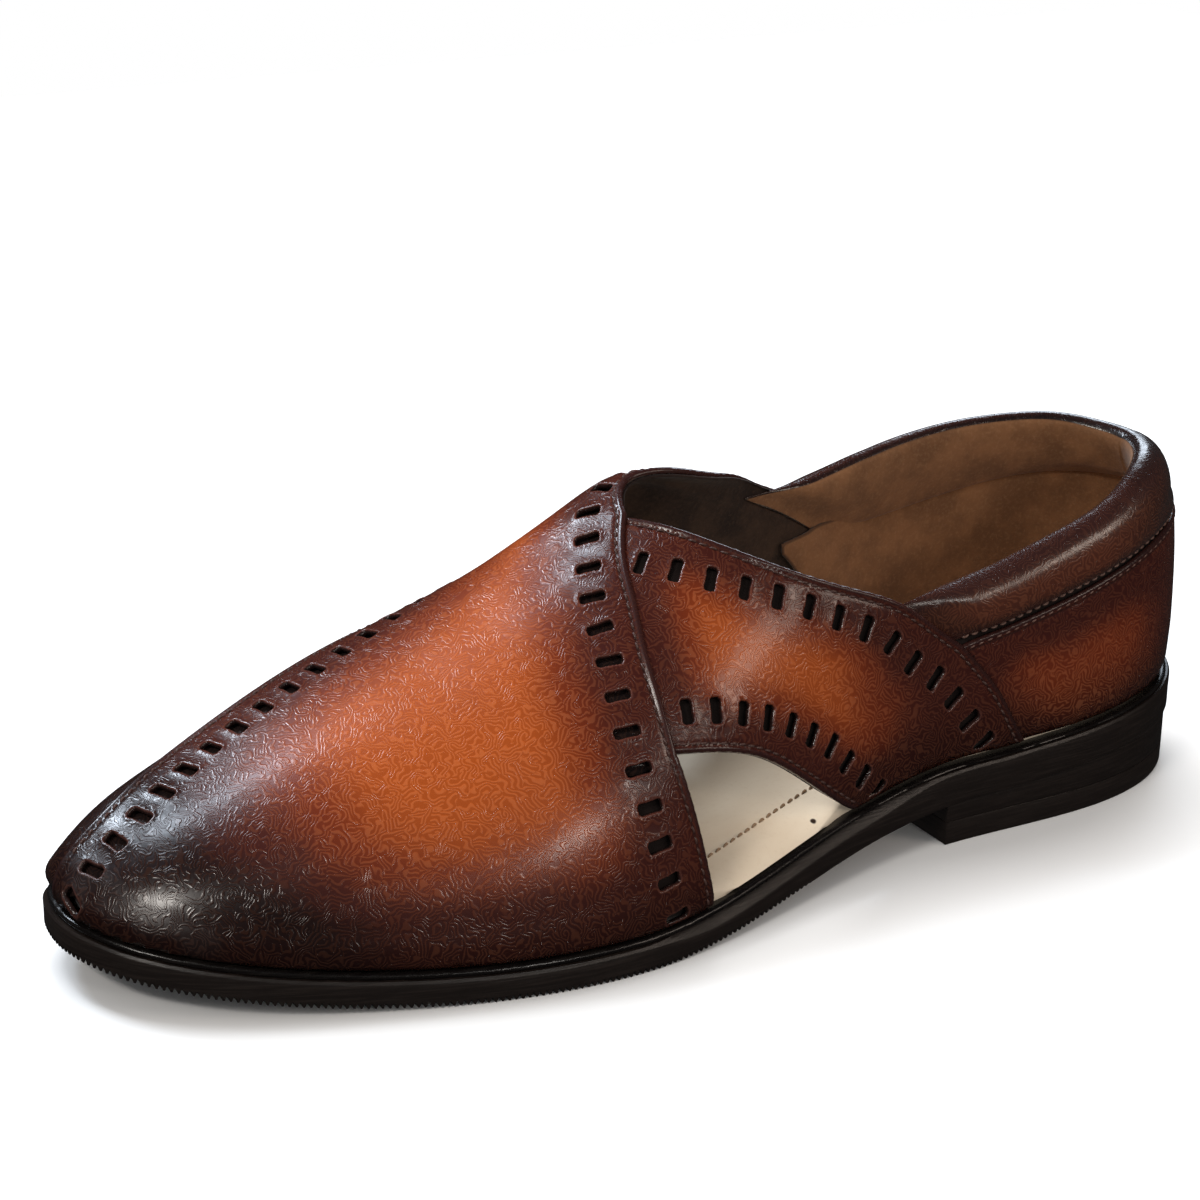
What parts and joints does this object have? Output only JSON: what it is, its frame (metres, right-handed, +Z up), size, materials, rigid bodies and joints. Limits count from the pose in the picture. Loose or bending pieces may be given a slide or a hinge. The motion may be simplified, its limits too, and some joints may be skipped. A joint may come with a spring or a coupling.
{
  "type": "peshawari chappal",
  "caption": "Left closed-toe slip-on shoe: two broad slotted leather straps crossing over the instep, open at both sides, padded collar, welted leather sole and low stacked heel.",
  "frame": {"origin": "middle of the bounding box's base: the plane of the floor that heel and forefoot stand on, half way along and across the outsole", "axes": "+X to the toe, +Y to the outer (little toe) side of the foot, +Z up"},
  "size_m": [0.3, 0.0986, 0.0907],
  "materials": {
    "burnished_leather": "embossed calf, hand burnished from orange brown to dark plum, glossy",
    "padded_leather": "embossed calf over soft padding, dark plum brown, glossy",
    "insole_leather": "smooth cream lining leather, matt",
    "edge_dressing": "black edge dressing, satin",
    "sole_leather": "dark brown dyed sole leather, satin",
    "top_piece_rubber": "matt black"
  },
  "bodies": {
    "root": {"upper": "burnished_leather", "collar_pad": "padded_leather", "insole": "insole_leather", "welt": "edge_dressing", "outsole": "sole_leather", "heel_base": "sole_leather", "heel_top_piece": "top_piece_rubber"}
  },
  "joints": []
}
